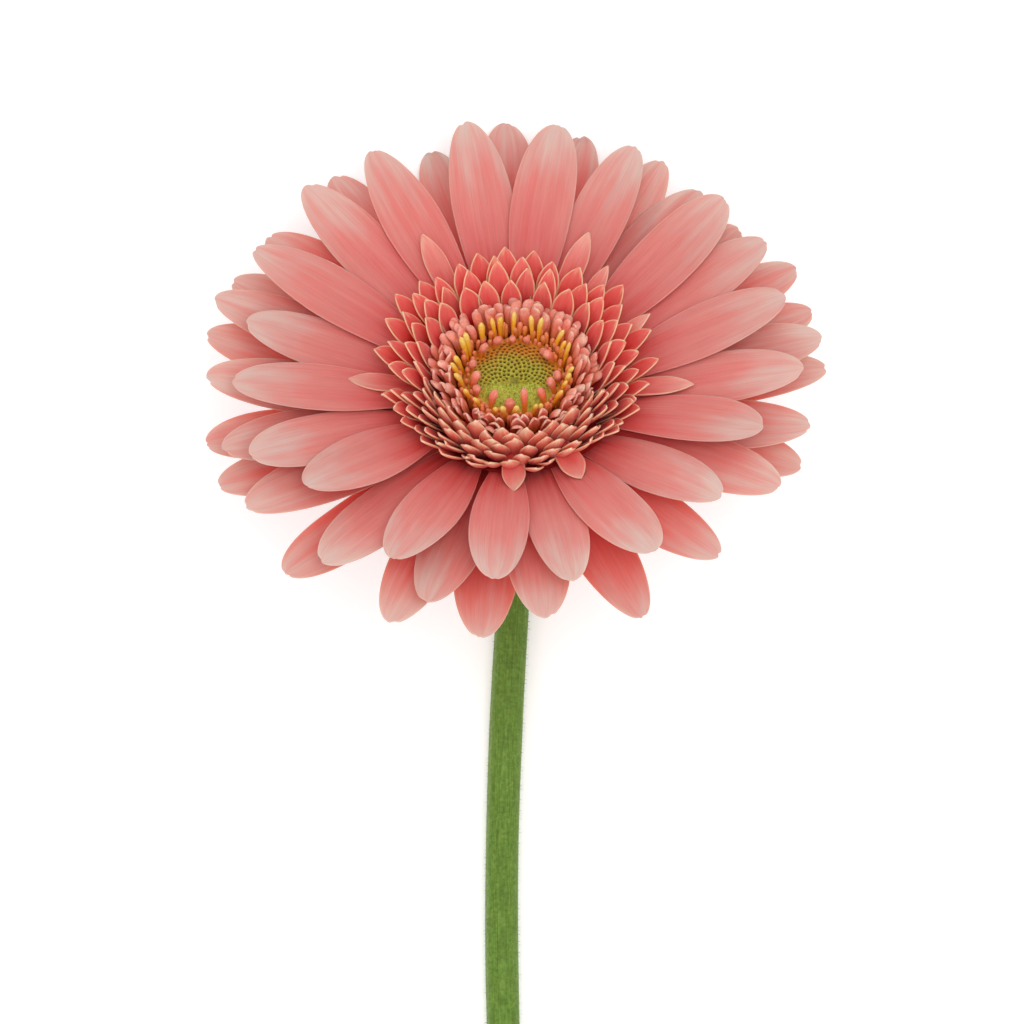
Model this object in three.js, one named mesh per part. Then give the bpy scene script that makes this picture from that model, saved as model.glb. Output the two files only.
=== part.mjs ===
// A cut gerbera lying on a flat surface: the stem along -Y, the head at +Y, facing up and away from it.
// Millimetres, +Z up. The origin is under the middle of the flower, on the surface.
//
// The head is built in its own frame: +Z is the axis it faces along, z = 0 is the face of the disc,
// and azimuths turn from +X towards +Y, which is the side of the head that rests on the surface.
import * as THREE from 'three';

// ---- Driving dimensions ----------------------------------------------------------------------------

const HEAD_TILT = 35; // degrees between the head's axis and the vertical
const HEAD_RADIUS = 50; // out to the tips of the back whorl
const FIT_GAP = 0.3; // between pieces that grow from each other

const STEM_RADIUS = 2.75;
const STEM_RUN = 226; // the part of the stem that lies along the surface
const STEM_SWAY = 2; // how far the stem wanders to either side
const STEM_WAVE = 110; // length of one sideways bend

const DISC_RADIUS = 5.9;
const DISC_DIMPLE = 0.9;
const DISC_EDGE = 0.8; // how far the rounded rim of the disc drops

const RING_WALL = 0.8; // foot of one ring of short florets
const RING_STEP = 1.25; // from the foot of one ring to the next

const RECEPTACLE_TOP = -4.2;
const RECEPTACLE_RIM = 0.4; // bare edge left outside the last ring
const RECEPTACLE_TAPER = 8.6; // height over which its wall narrows to the stem
const SHOULDER_RADIUS = 0.7; // where the narrowing bulges, as shares of the radius and of the taper
const SHOULDER_DROP = 0.58;

const BRACT_WALL = 0.9; // the cup of bracts at the back of the head
const BRACT_SPREAD = 4.4; // how far the bract tips stand out from the receptacle
const BRACT_NOTCH = 0.45; // depth of the cuts between the tips, as a share of the spread
const BRACT_COUNT = 26;

const CLAW_GAP = 0.4; // between the receptacle's wall and the rays
const CLAW_DROP = 0.2; // from the receptacle's top down to the highest claw
const RAY_THICKNESS = 0.42;
const RAY_EDGE = 0.22; // thickness left at a petal's edges
const RAY_WIDTH = 10;
const WIDEST_ALONG = 0.6; // where a ray is widest, as a share of its length
const CLAW_SHARE = 0.26; // width at the claw and left at the tip, as shares of the widest
const TIP_SHARE = 0.1;
const SWELL_POWER = 1.2; // how late a ray widens
const TIP_POWERS = [2.3, 0.6]; // how late and how bluntly it closes
const RAY_ARCH = 0.8; // below 1, a petal rises first and then levels out
const LAYER_STEP = 0.8; // between neighbours of one whorl, which lie over and under by turns
const REST_SECTOR = 20; // degrees to each side in which the back petals rest on the surface

// The whorls from the front of the head to the back. Each climbs to the height `tip` at the radius `span`,
// and both are shares of HEAD_RADIUS. Its petals are listed round the head as [azimuth, reach, width,
// lean]: reach is a share of HEAD_RADIUS, width of RAY_WIDTH, and lean turns the claw away from the tip.
const WHORLS = [
  {
    name: 'ray_front',
    tip: 0.16,
    span: 0.9,
    colour: '#e08379',
    petals: [
      [99.5, 0.94, 1, 0],
      [81, 0.92, 0.98, 0],
      [64.5, 0.92, 0.92, 3],
      [41, 0.91, 1.02, 0],
      [28.5, 0.93, 0.98, -3],
      [13.5, 0.9, 1, -5],
      [-4.5, 0.93, 1.02, 0],
      [-21, 0.85, 0.92, 0],
      [-40.5, 0.86, 0.98, 0],
      [-61, 0.91, 0.98, 0],
      [-78.5, 0.92, 0.92, 3],
      [-94, 0.89, 0.92, 0],
      [-115.5, 0.89, 0.96, -2],
      [-141, 0.85, 1, -8],
      [-153, 0.94, 0.96, -3],
      [-171.5, 0.91, 0.9, -5],
      [172, 0.87, 0.98, 0],
      [155, 0.93, 1, 0],
      [136.5, 0.94, 1, 0],
      [120.5, 0.92, 0.96, -4],
    ],
  },
  {
    name: 'ray_middle',
    tip: 0.08,
    span: 0.96,
    colour: '#d9746b',
    petals: [
      [59.5, 0.96, 1, 4],
      [49, 0.93, 1, 0],
      [37, 0.92, 1, -4],
      [6, 1, 1, 0],
      [-15, 0.98, 1, 0],
      [-30.5, 0.98, 1, 0],
      [-50, 1, 1, 0],
      [-84.5, 1.01, 1, 0],
      [-106.5, 0.96, 1, 0],
      [-127.5, 0.99, 1, 0],
      [-146.5, 1.02, 1, 0],
      [-160, 0.99, 1, 0],
      [-177, 0.99, 1, 0],
      [165.5, 1, 1, 0],
      [147, 0.96, 1, 0],
    ],
  },
  {
    name: 'ray_back',
    tip: 0,
    span: 1,
    rests: true,
    colour: '#cf665e',
    petals: [
      [106, 1, 0.96, 0],
      [91.5, 1.03, 1, 0],
      [77, 1.03, 1, 0],
      [25.5, 1.02, 1, 0],
      [16, 1.01, 1, 0],
      [1.5, 1.01, 1, 0],
      [-20, 0.98, 1, 0],
      [-67, 1.03, 0.96, 0],
      [-96, 1.01, 1, 0],
      [-112.5, 1.03, 1, -3],
      [-133, 1.06, 1, -5],
      [-155, 1.04, 1, 0],
      [-166, 1.02, 1, 0],
      [170.5, 1.01, 1, 0],
      [156.5, 1, 1, 0],
      [126, 1.01, 1, 0],
    ],
  },
];

// The rings of short florets, from the disc outwards. Each is a funnel through three levels, given as
// [spread, rise, wall] from its foot, whose rim is cut into `count` pointed floret tips, `notch` deep.
const RINGS = [
  {
    name: 'disc_florets_open',
    count: 20,
    notch: 0.4,
    colour: '#e3a23c',
    levels: [[0, 0, RING_WALL], [1, 3.4, 1.2], [2.6, 8.9, 1]],
  },
  {
    name: 'disc_florets_curled',
    count: 22,
    notch: 0.35,
    colour: '#d98d74',
    levels: [[0, 0, RING_WALL], [3.1, 3.3, 1.4], [5.1, 5.5, 1.4]],
  },
  {
    name: 'trans_florets_inner',
    count: 22,
    notch: 0.4,
    colour: '#d2574c',
    levels: [[0, 0, RING_WALL], [5.2, 4.5, 1.2], [7.7, 10.5, 0.8]],
  },
  {
    name: 'trans_florets_middle',
    count: 24,
    notch: 0.4,
    colour: '#d95f54',
    levels: [[0, 0, RING_WALL], [5.6, 4.2, 1.4], [9.3, 10.2, 0.8]],
  },
  {
    name: 'trans_florets_outer',
    count: 26,
    notch: 0.45,
    colour: '#dd6a5e',
    levels: [[0, 0, RING_WALL], [6.2, 3.7, 1.4], [10.9, 9.3, 0.8]],
  },
];

// ---- Sizes that follow -----------------------------------------------------------------------------

const RING_FOOT = RECEPTACLE_TOP + FIT_GAP;
const RECEPTACLE_RADIUS = ringRadius(RINGS.length - 1) + RING_WALL / 2 + RECEPTACLE_RIM;
const CLAW_RADIUS = RECEPTACLE_RADIUS + CLAW_GAP;
const WHORL_DEPTH = LAYER_STEP + RAY_THICKNESS;
const RECEPTACLE_WAIST = whorlFoot(WHORLS.length - 1) - WHORL_DEPTH / 2 - FIT_GAP;
const RECEPTACLE_FOOT = RECEPTACLE_WAIST - RECEPTACLE_TAPER;

// Middle of the foot of a ring of florets, counted from the disc.
function ringRadius(ring) {
  return DISC_RADIUS + FIT_GAP + RING_WALL / 2 + ring * RING_STEP;
}

// Height of a whorl's claws, counted from the front. The whorls lie close behind each other.
function whorlFoot(whorl) {
  return RECEPTACLE_TOP - CLAW_DROP - WHORL_DEPTH / 2 - whorl * (WHORL_DEPTH + FIT_GAP);
}

// ---- Fineness and colours --------------------------------------------------------------------------

const BLADE_STEPS = 8;
const BLADE_CROWDING = 1.4; // above 1, the steps of a blade are closer together towards its tip
const STEM_SIDES = 12;
const STEM_STEPS = 48;
const NECK_POINTS = 6;
const WAVE_POINTS = 5; // along each sideways bend of the stem

const GREEN = '#6b7d3a';
const PALE_GREEN = '#8b9a4c';
const DISC_GREEN = '#a9a64a';

// ---- Shared helpers --------------------------------------------------------------------------------

const { degToRad, lerp } = THREE.MathUtils;

function polar(radius, azimuth) {
  const angle = degToRad(azimuth);
  return new THREE.Vector2(radius * Math.cos(angle), radius * Math.sin(angle));
}

function named(name, geometry, colour, roughness = 0.7) {
  geometry.computeVertexNormals();
  const material = new THREE.MeshStandardMaterial({ color: colour, roughness, metalness: 0 });
  const mesh = new THREE.Mesh(geometry, material);
  mesh.name = name;
  return mesh;
}

function movePoints(geometry, move) {
  const position = geometry.attributes.position;
  const point = new THREE.Vector3();
  for (let i = 0; i < position.count; i += 1) {
    point.fromBufferAttribute(position, i);
    move(point, i);
    position.setXYZ(i, point.x, point.y, point.z);
  }
  return geometry;
}

// A solid of revolution about +Z. The profile goes up the outside and, on a ring, down the inside.
function turned(profile, segments) {
  const points = profile.map(([radius, height]) => new THREE.Vector2(radius, height));
  return new THREE.LatheGeometry(points, segments).rotateX(Math.PI / 2);
}

// ---- Ray petals ------------------------------------------------------------------------------------

// A petal's half width, as a share of its widest, from the claw (0) to the tip (1).
function outline(along) {
  const swell = Math.sin((Math.PI / 2) * Math.min(along / WIDEST_ALONG, 1)) ** SWELL_POWER;
  const past = Math.max(0, (along - WIDEST_ALONG) / (1 - WIDEST_ALONG));
  const taper = (1 - past ** TIP_POWERS[0]) ** TIP_POWERS[1];
  return Math.max(TIP_SHARE, lerp(CLAW_SHARE, 1, swell) * taper);
}

// Height of a petal's tip. A back petal on the low side of the head lays its tip on the surface, which
// meets the whorl's own rim straight below the head.
function tipHeight(whorl, tip, rests) {
  const own = whorl.tip * HEAD_RADIUS;
  return rests ? own + (tip.y - whorl.span * HEAD_RADIUS) * Math.tan(degToRad(HEAD_TILT)) : own;
}

function rayPetal(whorl, foot, [azimuth, reach, width, lean], layer) {
  const tip = polar(reach * HEAD_RADIUS, azimuth);
  const claw = polar(CLAW_RADIUS, azimuth + lean);
  const run = tip.clone().sub(claw);
  const side = new THREE.Vector2(-run.y, run.x).normalize();
  const rests = whorl.rests && Math.abs(azimuth - 90) < REST_SECTOR;
  const span = (rests ? reach : whorl.span) * HEAD_RADIUS;
  const top = tipHeight(whorl, tip, rests);

  const geometry = new THREE.BoxGeometry(1, 1, 1, BLADE_STEPS, 2, 1);
  return movePoints(geometry, (point) => {
    const along = 1 - (0.5 - point.x) ** BLADE_CROWDING;
    const across = 2 * point.y;
    const face = 2 * point.z;
    const offset = (across * outline(along) * width * RAY_WIDTH) / 2;
    const x = claw.x + run.x * along + side.x * offset;
    const y = claw.y + run.y * along + side.y * offset;
    const climb = Math.max(0, (Math.hypot(x, y) - CLAW_RADIUS) / (span - CLAW_RADIUS));
    const height = lerp(foot, top, climb ** RAY_ARCH) + (layer * LAYER_STEP) / 2;
    const thickness = lerp(RAY_THICKNESS, RAY_EDGE, Math.abs(across));
    point.set(x, y, height + (face * thickness) / 2);
  });
}

function rayWhorl(whorl, index) {
  return whorl.petals.map((petal, i) => {
    const layer = i % 2 === 0 ? -1 : 1;
    const number = String(i + 1).padStart(2, '0');
    const geometry = rayPetal(whorl, whorlFoot(index), petal, layer);
    return named(`${whorl.name}_${number}`, geometry, whorl.colour);
  });
}

// ---- Rings of short florets ------------------------------------------------------------------------

// Every second line of points round the rim drops back towards the level below it, between two tips.
function floretRing({ name, count, notch, colour, levels }, index) {
  const foot = ringRadius(index);
  const outside = levels.map(([spread, rise, wall]) => [foot + spread + wall / 2, RING_FOOT + rise]);
  const inside = levels.map(([spread, rise, wall]) => [foot + spread - wall / 2, RING_FOOT + rise]).reverse();
  const profile = [...outside, ...inside, outside[0]];
  const geometry = turned(profile, 2 * count);
  const rim = levels.length - 1;
  const [belowSpread, belowRise] = levels[rim - 1];
  const [rimSpread, rimRise] = levels[rim];
  movePoints(geometry, (point, i) => {
    const line = Math.floor(i / profile.length);
    const level = i % profile.length;
    const onRim = level === rim || level === rim + 1;
    if (!onRim || line % 2 === 0) {
      return;
    }
    const radius = Math.hypot(point.x, point.y);
    const scale = (radius + (belowSpread - rimSpread) * notch) / radius;
    point.set(point.x * scale, point.y * scale, RING_FOOT + lerp(rimRise, belowRise, notch));
  });
  return named(name, geometry, colour);
}

// ---- Middle and back of the head -------------------------------------------------------------------

// The disc closes the middle of the rings: a rounded edge, and a shallow dimple in its face.
function discCentre() {
  const profile = [
    [0, RING_FOOT],
    [DISC_RADIUS, RING_FOOT],
    [DISC_RADIUS, -DISC_EDGE],
    [DISC_RADIUS * 0.9, 0],
    [DISC_RADIUS * 0.45, -DISC_DIMPLE * 0.3],
    [0, -DISC_DIMPLE],
  ];
  return named('disc_centre', turned(profile, 24), DISC_GREEN, 0.6);
}

function shoulder() {
  return [RECEPTACLE_RADIUS * SHOULDER_RADIUS, RECEPTACLE_WAIST - RECEPTACLE_TAPER * SHOULDER_DROP];
}

function receptacle() {
  const profile = [
    [0, RECEPTACLE_FOOT],
    [STEM_RADIUS + FIT_GAP, RECEPTACLE_FOOT],
    shoulder(),
    [RECEPTACLE_RADIUS, RECEPTACLE_WAIST],
    [RECEPTACLE_RADIUS, RECEPTACLE_TOP],
    [0, RECEPTACLE_TOP],
  ];
  return named('receptacle', turned(profile, 32), PALE_GREEN);
}

// The cup of bracts follows the receptacle's back a fit gap away, and its tips spread under the rays.
function involucre() {
  const [shoulderRadius, shoulderHeight] = shoulder();
  const inside = [
    [RECEPTACLE_RADIUS + FIT_GAP, RECEPTACLE_WAIST - FIT_GAP],
    [shoulderRadius + FIT_GAP, shoulderHeight - FIT_GAP],
    [STEM_RADIUS + 2 * FIT_GAP, RECEPTACLE_FOOT - FIT_GAP],
  ];
  const outward = ([radius, height]) => [radius + BRACT_WALL * 0.6, height - BRACT_WALL];
  const outside = inside.map(outward).reverse();
  const tip = [RECEPTACLE_RADIUS + BRACT_SPREAD, RECEPTACLE_WAIST];
  const profile = [...outside, tip, ...inside, outside[0]];
  const tipLevel = outside.length;
  const geometry = turned(profile, 2 * BRACT_COUNT);
  movePoints(geometry, (point, i) => {
    const line = Math.floor(i / profile.length);
    if (i % profile.length !== tipLevel || line % 2 === 0) {
      return;
    }
    const scale = (tip[0] - BRACT_SPREAD * BRACT_NOTCH) / tip[0];
    point.set(point.x * scale, point.y * scale, RECEPTACLE_WAIST - FIT_GAP);
  });
  return named('involucre', geometry, GREEN, 0.8);
}

function flowerHead() {
  const head = new THREE.Group();
  head.rotation.x = -degToRad(HEAD_TILT);
  head.add(...WHORLS.flatMap(rayWhorl));
  head.add(...RINGS.map(floretRing));
  head.add(discCentre(), receptacle(), involucre());
  return head;
}

// ---- Stem ------------------------------------------------------------------------------------------

// The neck bends from the head's axis down to the surface in one arc, and the rest lies flat.
function stem(discHeight) {
  const tilt = degToRad(HEAD_TILT);
  const turn = Math.PI / 2 - tilt;
  const reachBack = RECEPTACLE_FOOT - FIT_GAP;
  const start = new THREE.Vector3(0, reachBack * Math.sin(tilt), discHeight + reachBack * Math.cos(tilt));
  const neckRadius = (start.z - STEM_RADIUS) / (1 - Math.cos(turn));

  const points = [];
  for (let i = 0; i < NECK_POINTS; i += 1) {
    const left = turn * (1 - i / NECK_POINTS);
    const y = start.y - neckRadius * (Math.sin(turn) - Math.sin(left));
    const z = start.z - neckRadius * (Math.cos(left) - Math.cos(turn));
    points.push(new THREE.Vector3(0, y, z));
  }
  const flatStart = start.y - neckRadius * Math.sin(turn);
  const count = Math.ceil((STEM_RUN / STEM_WAVE) * WAVE_POINTS);
  for (let i = 0; i <= count; i += 1) {
    const run = (STEM_RUN * i) / count;
    const x = -STEM_SWAY * Math.sin((Math.PI * run) / STEM_WAVE);
    points.push(new THREE.Vector3(x, flatStart - run, STEM_RADIUS));
  }

  const section = new THREE.Shape().absarc(0, 0, STEM_RADIUS, 0, 2 * Math.PI);
  const geometry = new THREE.ExtrudeGeometry(section, {
    steps: STEM_STEPS,
    curveSegments: STEM_SIDES / 2,
    bevelEnabled: false,
    extrudePath: new THREE.CatmullRomCurve3(points),
  });
  return named('stem', geometry, GREEN, 0.8);
}

// ---- The whole flower ------------------------------------------------------------------------------

const head = flowerHead();
head.updateMatrixWorld(true);
head.position.z = -new THREE.Box3().setFromObject(head, true).min.z;

const group = new THREE.Group();
group.add(head, stem(head.position.z));
group.updateMatrixWorld(true);
const box = new THREE.Box3().setFromObject(group, true);
const middle = box.getCenter(new THREE.Vector3());
group.position.set(-middle.x, -middle.y, -box.min.z);

export default group;
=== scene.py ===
import math

import bpy
import numpy as np
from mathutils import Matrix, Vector


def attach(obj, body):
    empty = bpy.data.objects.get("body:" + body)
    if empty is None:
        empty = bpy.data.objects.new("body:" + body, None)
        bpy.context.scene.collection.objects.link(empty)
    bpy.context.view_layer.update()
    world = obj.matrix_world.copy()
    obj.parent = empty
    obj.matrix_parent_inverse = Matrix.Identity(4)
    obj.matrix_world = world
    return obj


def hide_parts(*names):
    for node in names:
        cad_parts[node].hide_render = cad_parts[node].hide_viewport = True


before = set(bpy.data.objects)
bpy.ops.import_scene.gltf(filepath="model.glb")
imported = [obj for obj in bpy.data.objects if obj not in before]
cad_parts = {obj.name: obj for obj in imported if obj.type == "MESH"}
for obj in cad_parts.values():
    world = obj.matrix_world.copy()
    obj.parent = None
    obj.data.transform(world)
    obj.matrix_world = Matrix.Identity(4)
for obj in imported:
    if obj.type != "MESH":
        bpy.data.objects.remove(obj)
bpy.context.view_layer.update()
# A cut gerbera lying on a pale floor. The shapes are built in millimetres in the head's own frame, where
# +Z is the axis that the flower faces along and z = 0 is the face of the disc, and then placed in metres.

MM = 0.001
RANDOM_SEED = 20
GOLDEN_ANGLE = math.radians(137.508)

# ---- The head's frame, measured on the CAD nodes -----------------------------------------------------


def unit(vectors):
    """Vectors, in the last axis of an array, made one long."""
    return vectors / np.linalg.norm(vectors, axis=-1, keepdims=True)


def cad_points(node):
    """The separate corners of a CAD node, in millimetres in the row frame."""
    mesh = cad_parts[node].data
    points = np.array([v.co for v in mesh.vertices], float) / MM
    return np.unique(np.round(points, 3), axis=0)


def head_frame():
    """(origin, 3x3 matrix whose rows are the head's X, Y and Z axes), from two solids on its axis."""
    disc = cad_points("disc_centre")
    axis = unit(disc.mean(0) - cad_points("receptacle").mean(0))
    across = np.array([1.0, 0.0, 0.0])
    across = unit(across - axis * axis.dot(across))
    up = np.cross(axis, across)
    on_axis = disc.mean(0)
    face = ((disc - on_axis) @ axis).max()
    return on_axis + axis * face, np.stack([across, up, axis])


ORIGIN, AXES = head_frame()


def to_head(points):
    return (np.asarray(points, float) - ORIGIN) @ AXES.T


def to_row(points):
    return np.asarray(points, float) @ AXES + ORIGIN


def directions(azimuth):
    """Unit vectors outwards from the head's axis, sideways and up, at an azimuth in radians."""
    outward = np.array([math.cos(azimuth), math.sin(azimuth), 0.0])
    sideways = np.array([-math.sin(azimuth), math.cos(azimuth), 0.0])
    return outward, sideways, np.array([0.0, 0.0, 1.0])


def high_side(azimuth):
    """1 at the top of the head's high side, falling to 0 at its left and right and 0 over the low side."""
    return max(0.0, -math.sin(azimuth))


# ---- Meshes ------------------------------------------------------------------------------------------


class Shape:
    """Points, faces and per-point values of one piece, to which more shapes can be added."""

    def __init__(self):
        self.points, self.faces, self.values, self.count = [], [], {}, 0

    def add(self, points, faces, **values):
        points = np.asarray(points, float).reshape(-1, 3)
        self.points.append(points)
        self.faces.extend([[i + self.count for i in face] for face in faces])
        for key, value in values.items():
            value = np.broadcast_to(np.asarray(value, float).ravel(), (len(points),))
            self.values.setdefault(key, []).append(value)
        self.count += len(points)


def piece(name, shape, material, nodes, in_head=True):
    """Makes one Blender piece of a shape, which rides on the root and stands for the CAD nodes."""
    points = np.concatenate(shape.points)
    if in_head:
        points = to_row(points)
    mesh = bpy.data.meshes.new(name)
    mesh.from_pydata((points * MM).tolist(), [], shape.faces)
    for key, parts in shape.values.items():
        layer = mesh.attributes.new(key, "FLOAT", "POINT")
        layer.data.foreach_set("value", np.concatenate(parts).astype(np.float32))
    mesh.polygons.foreach_set("use_smooth", [True] * len(mesh.polygons))
    mesh.materials.append(material)
    mesh.update()
    obj = bpy.data.objects.new(name, mesh)
    bpy.context.scene.collection.objects.link(obj)
    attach(obj, "root")
    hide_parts(*nodes)


def grid_faces(rows, columns, start=0, flip=False):
    faces = []
    for i in range(rows):
        for j in range(columns):
            a = start + i * (columns + 1) + j
            b = a + columns + 1
            faces.append([a, a + 1, b + 1, b] if flip else [a, b, b + 1, a + 1])
    return faces


def ring_faces(rows, sides, flip=False):
    """Faces between rings of points that follow one another, each ring closed on itself."""
    faces = []
    for i in range(rows):
        for j in range(sides):
            a, b = i * sides + j, i * sides + (j + 1) % sides
            faces.append([a, b, b + sides, a + sides] if flip else [a, a + sides, b + sides, b])
    return faces


def blade(middle, thickness):
    """(points, faces) of a thin closed sheet round a grid of middle points, with its face side first."""
    rows, columns = middle.shape[0] - 1, middle.shape[1] - 1
    normal = np.cross(np.gradient(middle, axis=0), np.gradient(middle, axis=1))
    normal /= np.linalg.norm(normal, axis=2, keepdims=True) + 1e-12  # never by nought
    half = normal * (thickness[..., None] / 2)
    points = np.concatenate([(middle + half).reshape(-1, 3), (middle - half).reshape(-1, 3)])
    back = (rows + 1) * (columns + 1)
    faces = grid_faces(rows, columns) + grid_faces(rows, columns, back, flip=True)
    rim = [i * (columns + 1) for i in range(rows + 1)]
    rim += [rows * (columns + 1) + j for j in range(1, columns + 1)]
    rim += [i * (columns + 1) + columns for i in range(rows - 1, -1, -1)]
    rim += list(range(columns - 1, 0, -1))
    for a, b in zip(rim, rim[1:] + rim[:1]):
        faces.append([a, a + back, b + back, b])
    return points, faces


def blade_values(s, t, thickness):
    """Of each point of a blade: how far along and across it is, as places on the grid, and which face."""
    return {
        "along": np.tile(np.broadcast_to(s, thickness.shape).ravel(), 2),
        "across": np.tile(np.broadcast_to(t, thickness.shape).ravel(), 2),
        "side": np.repeat([1.0, -1.0], thickness.size),
    }


def tube(path, radii, sides, squash, side_axis):
    """(points, faces, along) of a closed tube along a path; squash is its thickness over its width."""
    tangent = unit(np.gradient(path, axis=0))
    side = unit(side_axis - tangent * (tangent @ side_axis)[:, None])
    other = np.cross(tangent, side)
    angle = np.linspace(0, 2 * math.pi, sides, endpoint=False)
    ring = side[:, None] * np.cos(angle)[None, :, None]
    ring = ring + other[:, None] * (np.sin(angle) * squash)[None, :, None]
    points = (path[:, None] + ring * radii[:, None, None]).reshape(-1, 3)
    faces = ring_faces(len(path) - 1, sides, flip=True)
    faces.append(list(range(sides))[::-1])
    faces.append([(len(path) - 1) * sides + j for j in range(sides)])
    along = np.repeat(np.linspace(0, 1, len(path)), sides)
    return points, faces, along


# A spike of two three-sided rings of points, from its foot upwards, and a tip.
SPIKE_FACES = [[0, 2, 1], [0, 1, 4, 3], [1, 2, 5, 4], [2, 0, 3, 5], [3, 4, 6], [4, 5, 6], [5, 3, 6]]


def triangle(a, b):
    """Three directions, evenly apart, in the plane of two unit vectors at right angles."""
    return [a, -0.5 * a + 0.87 * b, -0.5 * a - 0.87 * b]


# ---- Materials ---------------------------------------------------------------------------------------

# The sockets of a Mix node that carry colours
MIX_FIRST, MIX_SECOND, MIX_RESULT = 6, 7, 2


class Nodes:
    """A short way to write a material's nodes: each call returns the output to link on."""

    def __init__(self, name):
        self.material = bpy.data.materials.new(name)
        self.material.use_nodes = True
        self.tree = self.material.node_tree
        self.shader = self.tree.nodes["Principled BSDF"]

    def put(self, socket, value):
        if isinstance(value, bpy.types.NodeSocket):
            self.tree.links.new(value, socket)
        elif hasattr(socket.default_value, "__len__") and len(socket.default_value) == 4:
            socket.default_value = (*value[:3], 1)
        else:
            socket.default_value = value

    def set(self, **sockets):
        for name, value in sockets.items():
            self.put(self.shader.inputs[name.replace("_", " ")], value)

    def value(self, attribute):
        node = self.tree.nodes.new("ShaderNodeAttribute")
        node.attribute_name = attribute
        return node.outputs["Fac"]

    def math(self, operation, *values):
        node = self.tree.nodes.new("ShaderNodeMath")
        node.operation = operation
        for socket, value in zip(node.inputs, values):
            self.put(socket, value)
        return node.outputs[0]

    def vector(self, x, y, z):
        node = self.tree.nodes.new("ShaderNodeCombineXYZ")
        for socket, value in zip(node.inputs, (x, y, z)):
            self.put(socket, value)
        return node.outputs[0]

    def noise(self, vector, scale, detail=2.0, roughness=0.5):
        node = self.tree.nodes.new("ShaderNodeTexNoise")
        self.put(node.inputs["Vector"], vector)
        node.inputs["Scale"].default_value = scale
        node.inputs["Detail"].default_value = detail
        node.inputs["Roughness"].default_value = roughness
        return node.outputs["Fac"]

    def position(self):
        return self.tree.nodes.new("ShaderNodeNewGeometry").outputs["Position"]

    def span(self, value, low, high, to_low=0.0, to_high=1.0):
        node = self.tree.nodes.new("ShaderNodeMapRange")
        for socket, item in zip(node.inputs, (value, low, high, to_low, to_high)):
            self.put(socket, item)
        return node.outputs[0]

    def ramp(self, value, stops):
        node = self.tree.nodes.new("ShaderNodeValToRGB")
        self.put(node.inputs[0], value)
        elements = node.color_ramp.elements
        while len(elements) < len(stops):
            elements.new(0.5)
        for element, (place, colour) in zip(elements, stops):
            element.position = place
            element.color = (*colour, 1)
        return node.outputs["Color"]

    def mix(self, factor, first, second, blend="MIX"):
        node = self.tree.nodes.new("ShaderNodeMix")
        node.data_type = "RGBA"
        node.blend_type = blend
        self.put(node.inputs["Factor"], factor)
        self.put(node.inputs[MIX_FIRST], first)
        self.put(node.inputs[MIX_SECOND], second)
        return node.outputs[MIX_RESULT]

    def times(self, colour, red, green, blue):
        """A colour with its channels multiplied."""
        return self.mix(1.0, colour, self.vector(red, green, blue), "MULTIPLY")

    def bump(self, height, strength, distance_mm):
        node = self.tree.nodes.new("ShaderNodeBump")
        node.inputs["Strength"].default_value = strength
        node.inputs["Distance"].default_value = distance_mm * MM
        self.put(node.inputs["Height"], height)
        return node.outputs["Normal"]


# Up to this level a screen's curve is a straight line, whose slope is 255 times 12.92, rounded
STRAIGHT_UP_TO, STRAIGHT_SLOPE = 10, 3294


def srgb(*channels):
    """Red, green and blue as they look on a screen, 0 to 255, in the linear numbers that Blender uses."""
    return tuple(
        ((c / 255 + 0.055) / 1.055) ** 2.4 if c > STRAIGHT_UP_TO else c / STRAIGHT_SLOPE for c in channels
    )


def grey(level):
    return (level, level, level)


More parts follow.
